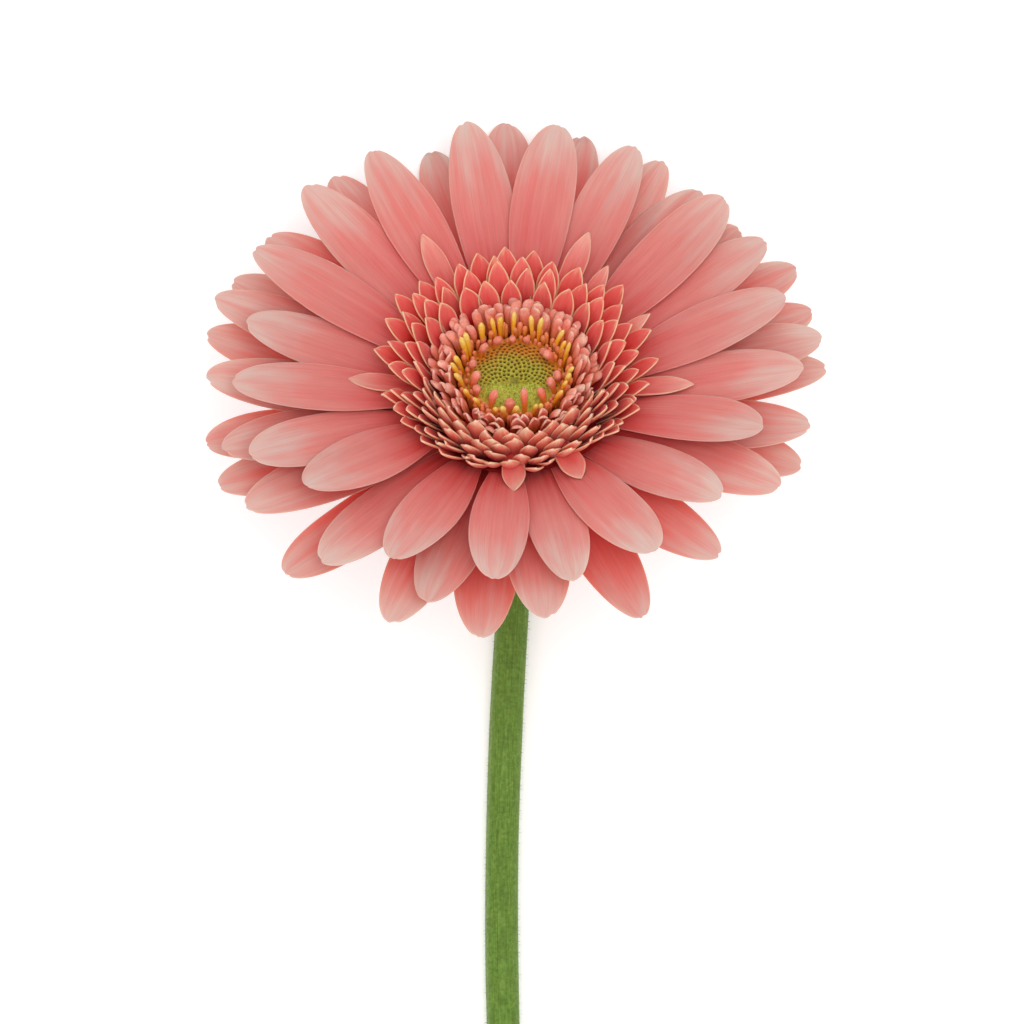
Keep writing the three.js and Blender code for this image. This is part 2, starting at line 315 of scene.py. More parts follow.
def petal_material(name, face_stops, back_stops, margin, margin_from, edge_strength, rib_scale, rib_light):
    """A matte petal that light shines into: colour from claw to tip, fine ribs and a pale margin.

    The margin starts at the share margin_from of the half width. rib_scale says how many ribs there are
    and rib_light how much of the margin's colour their crests take on. The shade attribute is painted shade.
    """
    n = Nodes(name)
    along, across, vein, side, tone, shade = (
        n.value(key) for key in ("along", "across", "vein", "side", "tone", "shade")
    )
    shifted = n.math("MULTIPLY", tone, 40.0)  # so that no two petals share their markings

    def marks(crosswise, wide, long, detail, roughness=0.5):
        place = n.vector(n.math("MULTIPLY", crosswise, wide), n.math("MULTIPLY", along, long), shifted)
        return n.noise(place, 1.0, detail, roughness)

    ribs = marks(vein, rib_scale, 0.9, 2.0)
    fine = marks(vein, rib_scale * 6.0, 5.0, 3.0, 0.6)
    clouds = marks(across, 1.3, 3.0, 2.0)
    place = n.math("ADD", along, n.span(clouds, 0.3, 0.7, -0.09, 0.09))
    place = n.math("ADD", place, n.span(ribs, 0.3, 0.7, -0.06, 0.06))
    # painted shade: petals of the back whorls, which lie behind others, take their colour from nearer the
    # claw
    place = n.math("SUBTRACT", place, n.math("MULTIPLY", shade, 0.03))
    face = n.ramp(place, face_stops)
    back = n.ramp(place, back_stops)
    colour = n.mix(n.span(side, -0.2, 0.2), back, face)
    colour = n.mix(n.span(ribs, 0.42, 0.75, 0.0, rib_light), colour, margin)
    # painted shade: behind other petals the back whorls turn redder, most towards the claw
    painted_shade_depth = n.math("MULTIPLY", shade, n.span(along, 0.1, 0.9, 0.34, 0.0))
    painted_shade_kept = n.math("SUBTRACT", 1.0, painted_shade_depth)
    colour = n.times(colour, 1.0, painted_shade_kept, painted_shade_kept)
    deeper = n.span(fine, 0.36, 0.64, 0.94, 1.04)
    colour = n.times(colour, deeper, deeper, deeper)
    tint = n.span(tone, 0.0, 1.0, 0.94, 1.06)
    colour = n.times(colour, 1.0, tint, tint)
    edge = n.span(n.math("ABSOLUTE", across), margin_from, 0.99)
    colour = n.mix(n.math("MULTIPLY", edge, edge_strength), colour, margin)
    height = n.math("ADD", n.math("MULTIPLY", ribs, 0.6), n.math("MULTIPLY", fine, 0.5))
    n.set(
        Base_Color=colour, Roughness=0.55, Specular_IOR_Level=0.3, Subsurface_Weight=0.36,
        Subsurface_Scale=0.0022, Sheen_Weight=0.06, Sheen_Roughness=0.5,
        Normal=n.bump(height, 0.55, 0.14),
    )
    n.shader.inputs["Subsurface Radius"].default_value = (1.0, 0.25, 0.18)
    return n.material


# The ray petal's face from claw to tip. Its deep red at the claw is partly the petal's own colour and partly
# painted shade under the crown.
RAY_FACE = [
    (0.00, srgb(178, 28, 24)),
    (0.18, srgb(211, 82, 78)),
    (0.40, srgb(213, 106, 101)),
    (0.66, srgb(213, 124, 116)),
    (0.84, srgb(207, 150, 141)),
    (1.00, srgb(203, 174, 165)),
]
RAY_BACK = [
    (0.00, srgb(188, 60, 50)),
    (0.45, srgb(210, 118, 106)),
    (0.85, srgb(214, 148, 136)),
    (1.00, srgb(220, 182, 168)),
]
FALLEN_FACE = [
    (0.00, srgb(190, 30, 26)),
    (0.45, srgb(220, 96, 90)),
    (0.80, srgb(224, 132, 122)),
    (1.00, srgb(226, 162, 144)),
]
# The short florets' hollow face and back from foot to tip. Their deep red towards the foot, and the face's
# deeper red, are partly their own colour and partly painted shade inside the crown.
TRANS_FACE = [
    (0.00, srgb(160, 8, 8)),
    (0.30, srgb(204, 30, 28)),
    (0.55, srgb(221, 74, 70)),
    (0.90, srgb(226, 104, 97)),
    (1.00, srgb(232, 146, 122)),
]
TRANS_BACK = [
    (0.00, srgb(160, 18, 14)),
    (0.45, srgb(224, 82, 70)),
    (0.72, srgb(238, 124, 104)),
    (0.88, srgb(244, 164, 138)),
    (1.00, srgb(246, 206, 178)),
]


def fleshy_material(name, stops, bump_scale, subsurface):
    """A soft rounded floret whose colour runs from its foot to its tip, with a mealy surface."""
    n = Nodes(name)
    along, tone = n.value("along"), n.value("tone")
    grain = n.noise(n.position(), bump_scale, 3.0, 0.6)
    blotch = n.noise(n.position(), bump_scale * 0.3, 2.0)
    place = n.math("ADD", along, n.span(blotch, 0.3, 0.7, -0.1, 0.1))
    place = n.math("ADD", place, n.span(tone, 0.0, 1.0, -0.08, 0.08))
    colour = n.ramp(place, stops)
    shade = n.span(grain, 0.35, 0.65, 0.88, 1.08)
    colour = n.times(colour, shade, shade, shade)
    n.set(
        Base_Color=colour, Roughness=0.5, Specular_IOR_Level=0.35, Subsurface_Weight=subsurface,
        Subsurface_Scale=0.0014, Normal=n.bump(grain, 0.35, 0.1),
    )
    n.shader.inputs["Subsurface Radius"].default_value = (1.0, 0.4, 0.25)
    return n.material


LOBE_STOPS = [
    (0.00, srgb(228, 112, 46)),
    (0.30, srgb(234, 128, 74)),
    (0.60, srgb(236, 132, 110)),
    (0.86, srgb(238, 160, 142)),
    (1.00, srgb(242, 190, 168)),
]
YOUNG_STOPS = [
    (0.00, srgb(226, 150, 30)),
    (0.45, srgb(226, 128, 52)),
    (0.72, srgb(228, 122, 98)),
    (0.92, srgb(230, 148, 130)),
    (1.00, srgb(220, 124, 104)),
]
TUBE_STOPS = [
    (0.00, srgb(214, 110, 30)),
    (0.50, srgb(232, 142, 58)),
    (1.00, srgb(230, 134, 98)),
]
ANTHER_STOPS = [
    (0.00, srgb(226, 104, 18)),
    (0.30, srgb(234, 144, 18)),
    (0.70, srgb(236, 176, 50)),
    (1.00, srgb(232, 200, 110)),
]
DISC_STOPS = [
    (0.00, srgb(190, 194, 78)),
    (0.40, srgb(180, 172, 58)),
    (0.75, srgb(192, 158, 54)),
    (1.00, srgb(210, 134, 40)),
]
PIT_COLOUR = srgb(84, 44, 8)


def disc_material():
    """The tight middle of the disc: yellow-green to orange, with a brown pit between the buds."""
    n = Nodes("disc_face")
    zone, pit = n.value("zone"), n.value("pit")
    grain = n.noise(n.position(), 2600.0, 3.0, 0.65)
    patches = n.noise(n.position(), 700.0, 2.0)
    colour = n.ramp(n.math("ADD", zone, n.span(patches, 0.3, 0.7, -0.16, 0.16)), DISC_STOPS)
    lit = n.span(grain, 0.35, 0.65, 0.82, 1.12)
    colour = n.times(colour, lit, lit, lit)
    colour = n.mix(pit, colour, PIT_COLOUR)
    n.set(
        Base_Color=colour, Roughness=0.6, Specular_IOR_Level=0.3, Subsurface_Weight=0.15,
        Subsurface_Scale=0.0006, Normal=n.bump(grain, 0.5, 0.12),
    )
    return n.material


def green_material(name, stops, scale, hair_bump):
    """Green plant tissue with long faint streaks, fine mottling and a downy surface."""
    n = Nodes(name)
    along, around, tone = n.value("along"), n.value("across"), n.value("tone")
    stretched = n.vector(n.math("MULTIPLY", around, 9.0), n.math("MULTIPLY", along, 5.0), tone)
    streaks = n.noise(stretched, 1.0, 3.0)
    mottle = n.noise(n.position(), scale, 3.0, 0.65)
    place = n.math("ADD", n.math("MULTIPLY", streaks, 0.5), n.math("MULTIPLY", mottle, 0.5))
    colour = n.ramp(n.span(place, 0.36, 0.64), stops)
    n.set(
        Base_Color=colour, Roughness=0.62, Specular_IOR_Level=0.3, Subsurface_Weight=0.1,
        Subsurface_Scale=0.001, Sheen_Weight=0.35, Sheen_Roughness=0.4,
        Normal=n.bump(mottle, hair_bump, 0.15),
    )
    n.shader.inputs["Sheen Tint"].default_value = (0.75, 0.9, 0.5, 1)
    return n.material


STEM_STOPS = [
    (0.0, srgb(74, 102, 24)),
    (0.5, srgb(90, 122, 34)),
    (1.0, srgb(112, 144, 56)),
]
HAIR_STOPS = [
    (0.3, srgb(134, 152, 84)),
    (0.7, srgb(176, 188, 132)),
]
BRACT_STOPS = [
    (0.0, srgb(62, 88, 26)),
    (0.5, srgb(88, 116, 40)),
    (1.0, srgb(122, 146, 66)),
]

# ---- Ray petals --------------------------------------------------------------------------------------

RAY_ALONG, RAY_ACROSS = 60, 22  # faces along and across a petal
RAY_BODY = 0.3  # thickness in mm
RAY_BLUNTNESS = 1.7, 2.35
REST_GAP = 0.03  # between the surface and a petal that lies on it


def outline(along, bluntness):
    """A ray petal's half width as a share of its widest, from claw to tip."""
    widest, claw = 0.6, 0.33
    swell = np.sin(math.pi / 2 * np.minimum(along / widest, 1)) ** 1.2
    past = np.clip((along - widest) / (1 - widest), 0, 1)
    return (claw + (1 - claw) * swell) * (1 - past**bluntness) ** 0.5


def ray_plan(node):
    """What a CAD petal says of itself: claw and tip in plan, widest half width, height over radius."""
    points = to_head(cad_points(node))
    place = points[:, :2] @ unit(points[:, :2].mean(0))
    end_zone = 0.8
    claw = points[place < place.min() + end_zone][:, :2].mean(0)
    tip = points[place > place.max() - end_zone][:, :2].mean(0)
    run = unit(tip - claw)
    side = np.array([-run[1], run[0]])
    lateral = (points[:, :2] - claw) @ side
    spine = points[np.abs(lateral) < 0.05]
    radius = np.hypot(spine[:, 0], spine[:, 1])
    climb = np.polyfit(radius, spine[:, 2], 4)
    return claw, tip, side, np.abs(lateral).max(), climb


def ray_petal(node, shade, random):
    """The petal of a CAD node. shade, painted shade for lying behind others, runs from 0 for the front whorl
    to 1 for the back one.
    """
    claw, tip, side, half_width, climb = ray_plan(node)
    # s runs along the petal and t across it, with more points towards the tip and the edges
    s = np.linspace(0, 1, RAY_ALONG + 1)
    s = (1 - (1 - s) ** 1.6)[:, None]
    t = np.linspace(-1, 1, RAY_ACROSS + 1)[None, :]
    t = np.sin(t * math.pi / 2) * 0.6 + t * 0.4

    half = outline(s, random.uniform(*RAY_BLUNTNESS)) * half_width * random.uniform(1.0, 1.05)
    half = np.maximum(half, 0.25)
    wide = t * half / half_width
    lateral = t * half + random.uniform(-0.7, 0.7) * np.sin(math.pi * s)

    # one or two faint notches in the blunt tip
    notch = 0.008 * np.exp(-(((wide - random.uniform(-0.25, 0.25)) / 0.07) ** 2))
    notch = notch + 0.006 * np.exp(-(((wide - random.uniform(-0.25, 0.25)) / 0.06) ** 2))
    reach = s - notch * np.clip((s - 0.93) / 0.07, 0, 1) ** 2
    run = tip - claw
    x = claw[0] + run[0] * reach + side[0] * lateral
    y = claw[1] + run[1] * reach + side[1] * lateral
    z = np.polyval(climb, np.hypot(x, y))

    # a shallow lengthwise channel, soft ribs, and a tip that curls a little
    outward = np.clip((s - 0.6) / 0.4, 0, 1)
    cup = random.uniform(0.1, 0.28) + random.uniform(0.0, 0.5) * outward
    z = z + cup * wide**2
    for rib in (-0.6, -0.22, 0.2, 0.58):
        place = rib + random.uniform(-0.07, 0.07)
        z = z + 0.08 * np.exp(-(((t - place) / 0.13) ** 2)) * np.sin(math.pi * s) ** 0.5 * (1 - outward)
    droop = random.uniform(-1.0, 0.5)
    roll = random.uniform(-0.6, 0.6)
    wave = 0.12 * np.sin(s * random.uniform(6, 9) + random.uniform(0, 6))
    z = z + droop * outward**2 + (roll + wave) * outward * wide
    middle = np.stack([x, y, z], axis=2)
    thickness = RAY_BODY * (1 - 0.72 * np.abs(t) ** 6) * (1.35 - 0.5 * s)
    points, faces = blade(middle, thickness)

    # where a petal rests, it lies along the surface instead of passing through it
    row = to_row(points)
    count = thickness.size
    row[:count, 2] = np.maximum(row[:count, 2], REST_GAP + thickness.ravel())
    row[count:, 2] = np.maximum(row[count:, 2], REST_GAP)
    shape = Shape()
    vein = np.tile(((t + wide) / 2).ravel(), 2)
    tone = random.uniform(0, 1)
    shape.add(row, faces, vein=vein, tone=tone, shade=shade, **blade_values(s, t, thickness))
    return shape


# Painted shade for each whorl's petals, most on the back whorl, which lies behind the others
WHORL_PAINTED_SHADES = {"ray_front": 0.0, "ray_middle": 0.5, "ray_back": 1.0}


def ray_petals(random):
    margin = srgb(224, 172, 160)
    material = petal_material("ray_petal", RAY_FACE, RAY_BACK, margin, 0.95, 0.35, 4.4, 0.07)
    for node in sorted(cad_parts):
        if node.startswith("ray_"):
            shape = ray_petal(node, WHORL_PAINTED_SHADES[node[:-3]], random)
            piece(node + "_petal", shape, material, [node], in_head=False)


# ---- Short florets of the crown ----------------------------------------------------------------------

# Each row: tip radius, tip height, rise in degrees from the head's plane, inward curl of the tip as a share
# of the length, count, and the CAD ring it is part of.
CROWN_ROWS = [
    (22.7, 5.0, 41, 0.01, 27, "trans_florets_outer"),
    (20.5, 5.9, 47, 0.03, 26, "trans_florets_outer"),
    (18.1, 6.4, 53, 0.05, 24, "trans_florets_middle"),
    (15.7, 6.3, 60, 0.07, 22, "trans_florets_inner"),
]
FLORET_LENGTH = 10.5
FLORET_HALF_WIDTH = 1.78
FLORET_ALONG, FLORET_ACROSS = 24, 10
FULLER_FROM = 0.3  # how far up the head's high side the crown has florets between those of a row
GROUND_PROFILE = [(7.6, -2.2), (10.0, -2.0), (13.0, -2.6), (16.0, -2.0), (18.2, -0.9)]
# Longer florets that have fallen outwards over the rays: azimuth, tip radius, tip height, half width,
# length, rise, and the degrees to each side where the outer row has no other floret.
STRAYS = [
    (121, 29.3, 5.0, 1.9, 15, 26, 5),
    (65, 28.4, 5.0, 1.9, 15, 26, 5),
    (50, 24.2, 5.2, 1.5, 12, 34, 4),
    (22, 23.8, 5.0, 1.5, 12, 34, 4),
    (-176, 26.8, 2.2, 1.7, 14, 14, 5),
    (-6, 29.1, 2.8, 1.8, 15, 14, 5),
    (-90.5, 22.8, 0.8, 1.9, 9, 0, 8.5),
    (-62, 23.3, 1.2, 2.1, 9, 3, 8.5),
]


def floret_outline(s):
    swell = np.sin(math.pi / 2 * np.minimum(s / 0.64, 1)) ** 0.7
    past = np.clip((s - 0.64) / 0.36, 0, 1)
    return (0.45 + 0.55 * swell) * (1 - past**1.75) ** 0.8


def floret(azimuth, tip_radius, tip_height, rise, length, half_width, curl, random, cup=0.42):
    """A pointed, channelled floret whose hollow side faces the head's axis, as (points, faces, values)."""
    s = np.linspace(0, 1, FLORET_ALONG + 1)[:, None]
    t = np.linspace(-1, 1, FLORET_ACROSS + 1)[None, :]
    slope = math.radians(rise)
    outward, sideways, up = directions(azimuth)
    forward = outward * math.cos(slope) + up * math.sin(slope)
    inner = -outward * math.sin(slope) + up * math.cos(slope)
    tip = outward * tip_radius + up * tip_height
    half = np.maximum(floret_outline(s) * half_width, 0.07)
    lateral = t * half + random.uniform(-0.4, 0.4) * s**2
    lift = cup * half * t**2 * (1 - 0.3 * s) + curl * length * (s**3 - 1) + 0.04 * length * (s - 1)
    lift = lift + random.uniform(-0.16, 0.16) * t * s * half_width
    lift = lift - 0.06 * np.exp(-((t / 0.2) ** 2)) * np.sin(math.pi * s)
    middle = (
        tip
        + forward * ((s - 1) * length)[..., None]
        + sideways * lateral[..., None]
        + inner * lift[..., None]
    )
    thickness = 0.4 * (1 - 0.5 * np.abs(t) ** 4) * (1.1 - 0.3 * s)
    points, faces = blade(middle, thickness)
    vein = np.tile((t * half / half_width).ravel(), 2)
    values = {"vein": vein, "tone": random.uniform(0, 1), "shade": 0.0, **blade_values(s, t, thickness)}
    return points, faces, values


def profile_line(profile, fine):
    """Radii and heights along (radius, height) knots, with fine steps from each knot to the next."""
    knots = np.array(profile)
    place = np.linspace(0, len(knots) - 1, (len(knots) - 1) * fine + 1)
    return [np.interp(place, range(len(knots)), knots[:, column])[:, None] for column in (0, 1)]


def ring_points(radius, height, turn):
    """The points of rings round the head's axis, a ring to each radius and height."""
    return np.stack([radius * np.cos(turn), radius * np.sin(turn), height + 0 * turn], 2).reshape(-1, 3)


def apart(azimuth, degrees):
    """How many degrees an azimuth, in radians, is from one in degrees."""
    return abs((math.degrees(azimuth) - degrees + 180) % 360 - 180)


def crown_ground(material, random):
    """The deep red ground that the short florets stand on, an uneven skin turned about the head's axis,
    partly painted shade.
    """
    sides = 96
    radius, height = profile_line(GROUND_PROFILE, 12)
    height = height + random.uniform(-0.15, 0.15, (len(radius), sides))
    turn = np.linspace(0, 2 * math.pi, sides, endpoint=False)[None, :]
    shape = Shape()
    shape.add(
        ring_points(radius, height, turn),
        ring_faces(len(radius) - 1, sides),
        # painted shade: the ground takes the deep red near the florets' foot, and its outer edge fills
        # shaded gaps by the rays' claws
        along=0.12, across=0.0, vein=0.0, side=1.0, tone=0.3, shade=0.0,
    )
    piece("crown_ground", shape, material, ["trans_florets_inner"])


def crown(random):
    margin = srgb(232, 186, 146)
    material = petal_material("trans_floret", TRANS_FACE, TRANS_BACK, margin, 0.86, 0.85, 1.6, 0.05)
    sectors = 4
    for number, (radius, height, rise, curl, count, node) in enumerate(CROWN_ROWS, 1):
        turn = random.uniform(0, 2 * math.pi)
        shapes = [Shape() for _ in range(sectors)]
        for i in range(2 * count):
            # on the high side of the head the crown is fuller, and the florets' tips close inwards a little
            between = i % 2
            azimuth = turn + math.pi * (i + random.uniform(-0.3, 0.3)) / count
            closed = high_side(azimuth)
            if between and closed < FULLER_FROM:
                continue
            if number == 1 and any(apart(azimuth, stray[0]) < stray[6] for stray in STRAYS):
                continue
            loose = 1 - 0.55 * closed
            inwards = 1.1 * between + (closed if number == 1 else 0.0)
            points, faces, values = floret(
                azimuth,
                radius - inwards + random.uniform(-0.6, 0.6) * loose,
                height + random.uniform(-0.6, 0.6) * loose,
                rise + 7 * closed + 3 * between + random.uniform(-5, 5) * loose,
                FLORET_LENGTH * random.uniform(0.92, 1.05),
                FLORET_HALF_WIDTH * random.uniform(0.88, 1.14) * (1 - 0.1 * closed),
                curl + 0.06 * closed,
                random,
            )
            shapes[i * sectors // (2 * count)].add(points, faces, **values)
        for sector, shape in enumerate(shapes, 1):
            piece(f"crown_row_{number}_part_{sector}", shape, material, [node])
    crown_ground(material, random)
    margin = srgb(236, 190, 158)
    fallen_material = petal_material("fallen_floret", FALLEN_FACE, RAY_BACK, margin, 0.88, 0.7, 1.6, 0.06)
    for number, (azimuth, radius, height, half_width, length, rise, _) in enumerate(STRAYS, 1):
        points, faces, values = floret(
            math.radians(azimuth), radius, height, rise, length, half_width, 0.0, random, cup=0.22
        )
        shape = Shape()
        shape.add(points, faces, **values)
        piece(f"crown_stray_{number}", shape, fallen_material, ["trans_florets_outer"])


# ---- Disc florets ------------------------------------------------------------------------------------

FINGER_STEPS, FINGER_SIDES = 14, 12
FINGER_FLATNESS = 0.9  # thickness over width
LOBE_ALONG, LOBE_ACROSS = 16, 8


def finger(azimuth, foot, tip, width, curl, random):
    """A rounded finger from foot to tip, both (radius, height), whose end curls outwards by curl degrees."""
    outward, sideways, up = directions(azimuth)
    start = outward * foot[0] + up * foot[1]
    end = outward * tip[0] + up * tip[1]
    s = np.linspace(0, 1, FINGER_STEPS + 1)
    line = start + (end - start) * s[:, None]
    length = np.linalg.norm(end - start)
    hook = np.clip((s - 0.55) / 0.45, 0, 1)
    line = line + outward * (hook**2 * length * 0.28 * math.sin(math.radians(curl)))[:, None]
    line = line - up * (hook**2.5 * length * 0.22 * (1 - math.cos(math.radians(curl))))[:, None]
    line = line + sideways * (random.uniform(-0.12, 0.12) * length * s**2)[:, None]
    swell = 0.55 + 0.45 * np.clip(s / 0.75, 0, 1) ** 1.5
    cap = np.sqrt(np.clip(1 - np.clip((s - 0.8) / 0.2, 0, 1) ** 2.2, 0.0, 1))
    radii = width / 2 * swell * np.maximum(cap, 0.12)
    points, faces, along = tube(line, radii, FINGER_SIDES, FINGER_FLATNESS, sideways)
    return points, faces, {"along": along, "tone": random.uniform(0, 1)}


def tongue(azimuth, foot, tip, half_width, curl, random):
    """A small strap from foot to tip, both (radius, height), with a round end bent back by curl degrees."""
    s = np.linspace(0, 1, LOBE_ALONG + 1)[:, None]
    t = np.linspace(-1, 1, LOBE_ACROSS + 1)[None, :]
    outward, sideways, up = directions(azimuth)
    start = outward * foot[0] + up * foot[1]
    run = outward * (tip[0] - foot[0]) + up * (tip[1] - foot[1])
    length = np.linalg.norm(run)
    forward = run / length
    inner = -outward * forward.dot(up) + up * forward.dot(outward)
    bent = np.clip((s - 0.5) / 0.5, 0, 1) ** 2
    back = bent * length * 0.3 * math.sin(math.radians(curl))
    drop = bent**1.5 * length * 0.3 * (1 - math.cos(math.radians(curl)))
    past = np.clip((s - 0.7) / 0.3, 0, 1)
    half = half_width * (0.55 + 0.45 * np.sin(math.pi / 2 * np.minimum(s / 0.7, 1))) * (1 - past**2.3) ** 0.5
    half = np.maximum(half, 0.1)
    twist = random.uniform(-0.5, 0.5) * s
    middle = (
        start
        + forward * (s * length - drop)[..., None]
        + sideways * (t * half + random.uniform(-0.5, 0.5) * s**2)[..., None]
        + inner * (-back - 0.55 * half * t**2 + twist * t * half)[..., None]
    )
    thickness = (0.5 * (1 - 0.6 * t**4)) * (1 - 0.2 * s)
    points, faces = blade(middle, thickness)
    along = np.tile(np.broadcast_to(s - 0.12 * (1 - t**2), thickness.shape).ravel(), 2)
    return points, faces, {"along": along, "tone": random.uniform(0, 1)}


# Rows of curled lobes, from the crown inwards: foot radius, tip radius, tip height, count, half width.
LOBE_ROWS = [
    (11.2, 13.3, 3.4, 38, 0.85),
    (10.6, 12.3, 4.1, 36, 0.85),
    (10.0, 11.3, 4.6, 34, 0.85),
    (9.4, 10.4, 4.9, 30, 0.8),
]
FLORET_FOOT = -1.5  # height at which the lobes and the florets' tubes start
# Name, colours, count, foot and tip as (radius, height), width, outward curl in degrees, and how far the
# tip's height varies.
STALKS = [
    ("anther_columns", ANTHER_STOPS, 25, (8.1, -1.0), (9.5, 5.3), 0.95, 8, 1.1),
    ("young_florets", YOUNG_STOPS, 15, (7.1, -0.8), (6.7, 3.1), 1.45, -30, 1.2),
    ("floret_tubes_outer", TUBE_STOPS, 56, (8.5, FLORET_FOOT), (9.0, 2.5), 0.9, 0, 0.8),
    ("floret_tubes_inner", TUBE_STOPS, 52, (7.6, FLORET_FOOT), (7.8, 1.3), 0.8, 0, 0.8),
]


def disc_florets(random):
    lobes = fleshy_material("curled_lobe", LOBE_STOPS, 1800.0, 0.4)
    for number, (foot, radius, height, count, half_width) in enumerate(LOBE_ROWS, 1):
        turn = random.uniform(0, 2 * math.pi)
        shapes = [Shape(), Shape()]
        for i in range(count):
            azimuth = turn + 2 * math.pi * (i + random.uniform(-0.42, 0.42)) / count
            high = high_side(azimuth)
            even = 1 - 0.5 * high
            curl = 25 + 10 * math.sin(azimuth) + random.uniform(-45, 45) * even
            tip_radius = radius + random.uniform(-0.6, 0.6)
            tip_height = height + random.uniform(-1.1, 0.6) * even - 0.4 * high
            points, faces, values = tongue(
                azimuth,
                (foot, FLORET_FOOT),
                (tip_radius, tip_height),
                half_width * random.uniform(0.75, 1.15) * (1 + 0.2 * high),
                curl,
                random,
            )
            shapes[i * 2 // count].add(points, faces, **values)
        for half, shape in enumerate(shapes, 1):
            name = f"lobe_row_{number}_half_{half}"
            piece(name, shape, lobes, ["disc_florets_curled"])

    for name, stops, count, foot, tip, width, curl, spread in STALKS:
        material = fleshy_material(name, stops, 2400.0, 0.35)
        shape = Shape()
        for i in range(count):
            azimuth = 2 * math.pi * (i + random.uniform(-0.35, 0.35)) / count
            # on the high side of the head the young florets are longer and lean in over the disc
            high = high_side(azimuth) if name == "young_florets" else 0.0
            points, faces, values = finger(
                azimuth,
                foot,
                (
                    tip[0] - 0.5 * high + random.uniform(-0.5, 0.5),
                    tip[1] + 0.9 * high + random.uniform(-spread, spread * 0.5),
                ),
                width * random.uniform(0.8, 1.2),
                curl * random.uniform(0.2, 2.0),
                random,
            )
            shape.add(points, faces, **values)
        piece(name, shape, material, ["disc_florets_open"])


DISC_RINGS, DISC_SIDES = 120, 300
DISC_REACH = 8.2
PIT_COUNT = 330
PIT_REACH = 7.2
PIT_RADIUS = 0.2
PIT_DEPTH = 0.4
FUZZ_COUNT = 1500
FUZZ_REACH = 6.3


def disc_height(radius):
    """The disc dips in the middle and rises to a soft rim."""
    rise = np.sin(math.pi / 2 * np.minimum(radius / 4.6, 1)) ** 1.6
    return rise - 0.95 - 0.15 * np.maximum(radius - 5.2, 0)


def spike(foot, tip, width):
    """The points of a three-sided spike."""
    axis = unit(tip - foot)
    a = unit(np.cross(axis, [0.3, 0.9, 0.3]))
    ring = triangle(a, np.cross(axis, a))
    middle = foot + (tip - foot) * 0.55  # where it still has most of its width
    return np.array([foot + r * width for r in ring] + [middle + r * width * 0.8 for r in ring] + [tip])


def smooth_step(value, low, high):
    u = np.clip((value - low) / (high - low), 0, 1)
    return u * u * (3 - 2 * u)


def disc_zone(x, y):
    """0 where the disc is fresh green, 1 at its ripest edge, on the low side of the head."""
    radius = np.hypot(x, y)
    return np.clip(0.3 + 0.06 * y + 0.085 * np.maximum(radius - 3.2, 0) ** 1.5, 0, 1)


def disc_centre(random):
    material = disc_material()
    radius = np.linspace(0, DISC_REACH, DISC_RINGS + 1)[1:, None]
    turn = np.linspace(0, 2 * math.pi, DISC_SIDES, endpoint=False)[None, :]
    x, y = (radius * np.cos(turn)).ravel(), (radius * np.sin(turn)).ravel()
    index = np.arange(PIT_COUNT)
    reach = PIT_REACH * np.sqrt((index + 0.5) / PIT_COUNT)
    pit_x = reach * np.cos(index * GOLDEN_ANGLE) + random.uniform(-0.06, 0.06, PIT_COUNT)
    pit_y = reach * np.sin(index * GOLDEN_ANGLE) + random.uniform(-0.06, 0.06, PIT_COUNT)
    nearest = np.min((x[:, None] - pit_x) ** 2 + (y[:, None] - pit_y) ** 2, axis=1) ** 0.5
    r = np.hypot(x, y)
    open_pits = smooth_step(y + 0.35 * np.abs(x), -0.6, 1.2) * smooth_step(r, 0.3, 1.4)
    pit = np.exp(-((nearest / PIT_RADIUS) ** 2)) * open_pits
    swell = np.cos(np.minimum(nearest / 0.4, 1) * math.pi)
    z = disc_height(r) - PIT_DEPTH * pit - 0.07 * swell * (0.4 + 0.6 * open_pits)
    points = np.concatenate([np.stack([x, y, z], 1), [[0, 0, float(disc_height(0.0))]]])
    centre = DISC_RINGS * DISC_SIDES
    faces = ring_faces(DISC_RINGS - 1, DISC_SIDES)
    faces += [[centre, j, (j + 1) % DISC_SIDES] for j in range(DISC_SIDES)]
    zone = np.append(disc_zone(x, y), disc_zone(0.0, 0.0))
    shape = Shape()
    hollow = 0.6 * np.exp(-((r / 0.7) ** 2))
    shape.add(points, faces, pit=np.append(np.clip(pit * 1.25 + hollow, 0, 1), 0.35), zone=zone)
    piece("disc_face", shape, material, ["disc_centre"])

    fuzz = Shape()
    for _ in range(FUZZ_COUNT):
        radius, azimuth = FUZZ_REACH * math.sqrt(random.uniform(0, 1)), random.uniform(0, 2 * math.pi)
        fx, fy = radius * math.cos(azimuth), radius * math.sin(azimuth)
        bare = float(smooth_step(np.array(fy + 0.35 * abs(fx)), -0.4, 1.6))
        if random.uniform(0, 1) < 0.88 * bare:
            continue
        foot = np.array([fx, fy, float(disc_height(radius)) - 0.08])
        lean = random.uniform(-0.16, 0.16, 2)
        tip = foot + [lean[0], lean[1], random.uniform(0.25, 0.6)]
        points = spike(foot, tip, random.uniform(0.045, 0.08))
        hollow = 0.4 * math.exp(-((radius / 0.9) ** 2)) + random.uniform(0, 0.14)
        zone = float(disc_zone(fx, fy)) + random.uniform(-0.16, 0.12)
        fuzz.add(points, SPIKE_FACES, pit=hollow, zone=zone)
    piece("disc_fuzz", fuzz, material, ["disc_centre"])


# ---- Back of the head --------------------------------------------------------------------------------

